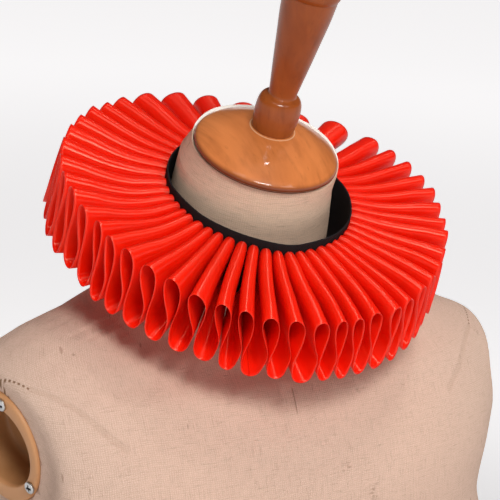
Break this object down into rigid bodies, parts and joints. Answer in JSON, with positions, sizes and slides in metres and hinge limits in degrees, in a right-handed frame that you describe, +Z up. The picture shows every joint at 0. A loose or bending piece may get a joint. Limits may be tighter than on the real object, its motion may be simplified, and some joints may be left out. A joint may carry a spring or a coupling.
{
  "type": "ruff collar on a dress form",
  "caption": "Deep pleated ruff collar of red satin on a black neckband, worn by a limbless linen dress form with a wooden neck cap and knob.",
  "frame": {"origin": "centre of the flat face at the bottom of the dress form's hips", "axes": "+Z up; the form faces -Y; +X is the form's left"},
  "size_m": [0.4765, 0.3135, 0.8788],
  "materials": {
    "red_satin": "bright orange-red satin with a soft sheen along each fold",
    "black_twill": "dull black cotton twill",
    "linen": "fine beige-pink linen, stretched over a stuffed form",
    "varnished_wood": "glossy varnished orange-brown wood",
    "socket_plastic": "satin tan plastic",
    "screw_steel": "bright zinc-plated cross-head screws"
  },
  "bodies": {
    "root": {"ruffle_right": "red_satin", "ruffle_left": "red_satin", "neckband": "black_twill", "form_torso": "linen", "neck_cap": "varnished_wood", "neck_knob": "varnished_wood", "arm_socket_right": "socket_plastic", "arm_socket_left": "socket_plastic", "socket_screw_right_1": "screw_steel", "socket_screw_right_2": "screw_steel", "socket_screw_right_3": "screw_steel", "socket_screw_left_1": "screw_steel", "socket_screw_left_2": "screw_steel", "socket_screw_left_3": "screw_steel"}
  },
  "joints": []
}
